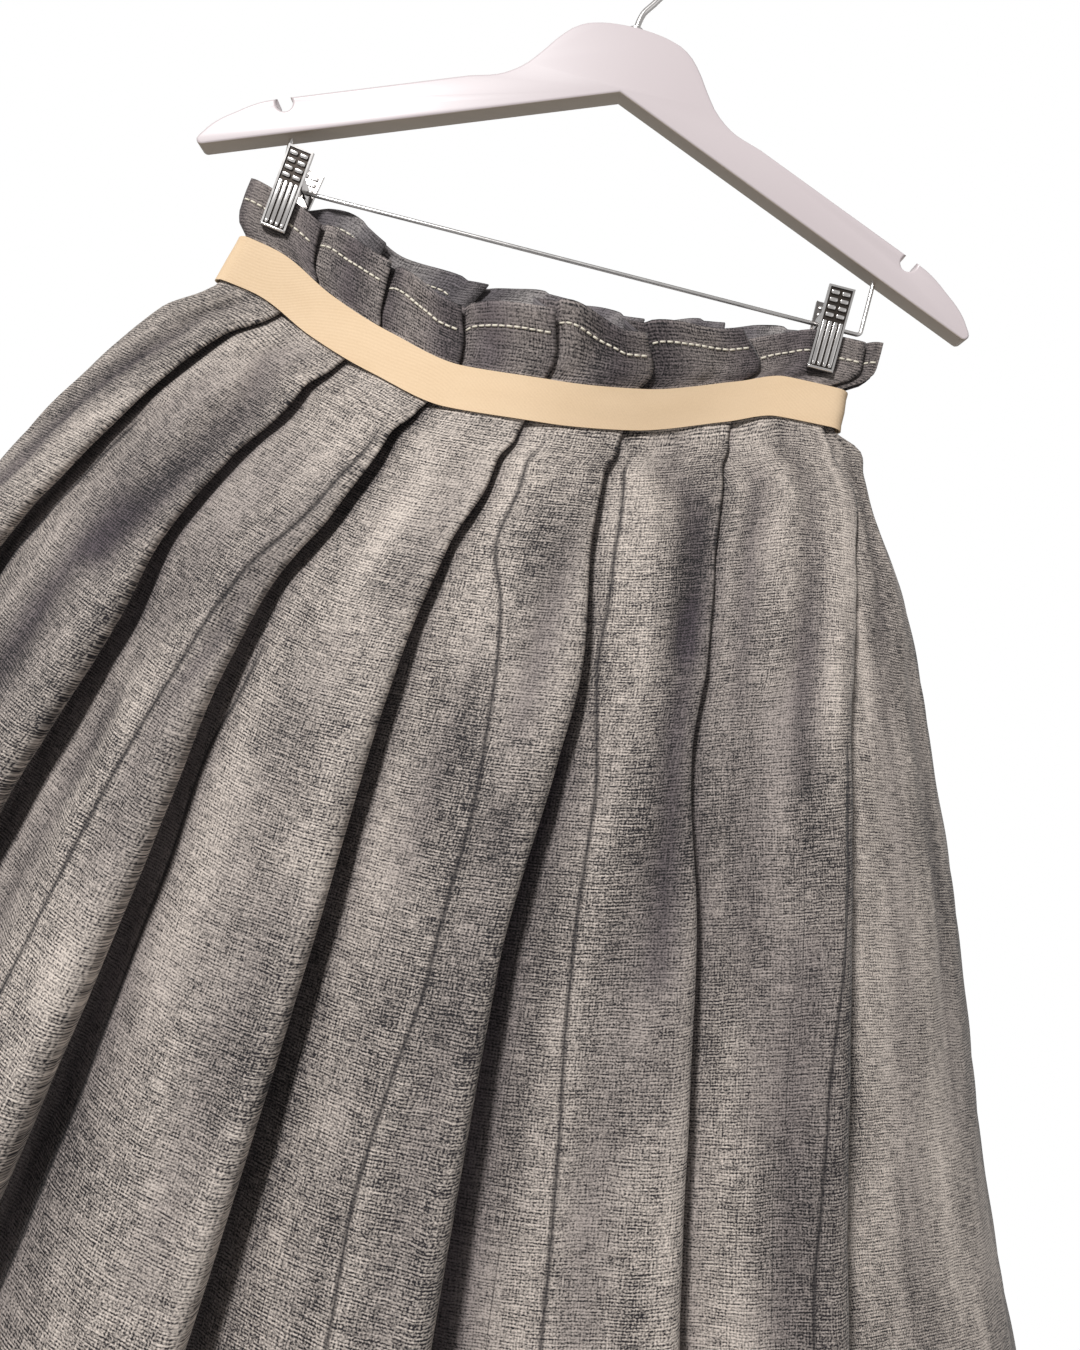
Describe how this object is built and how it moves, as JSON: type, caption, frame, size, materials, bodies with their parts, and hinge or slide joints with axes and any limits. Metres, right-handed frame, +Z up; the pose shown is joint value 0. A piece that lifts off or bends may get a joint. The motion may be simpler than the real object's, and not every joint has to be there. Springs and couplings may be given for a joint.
{
  "type": "pleated skirt on a clip hanger",
  "caption": "Knife-pleated skirt with a frilled top edge and a tape waistband, held by the clips of a flat wooden hanger with a wire hook.",
  "frame": {"origin": "inside top of the hanger's hook, where a rail carries it", "axes": "+Z up, the skirt's front faces -Y, +X to the right as the front is seen"},
  "size_m": [0.9268, 0.3526, 0.9951],
  "materials": {
    "cloth": "dry, slubby plain weave of black and off-white yarns",
    "tape": "ribbed cotton tape, matt",
    "painted_wood": "white satin paint",
    "chrome": "polished plating"
  },
  "bodies": {
    "root": {"skirt_front": "cloth", "skirt_back": "cloth", "waistband": "tape", "hanger_body": "painted_wood", "hanger_hook": "chrome", "clip_bar": "chrome", "clip_left_front_lever": "chrome", "clip_left_back_lever": "chrome", "clip_left_spring": "chrome", "clip_right_front_lever": "chrome", "clip_right_back_lever": "chrome", "clip_right_spring": "chrome"}
  },
  "joints": []
}
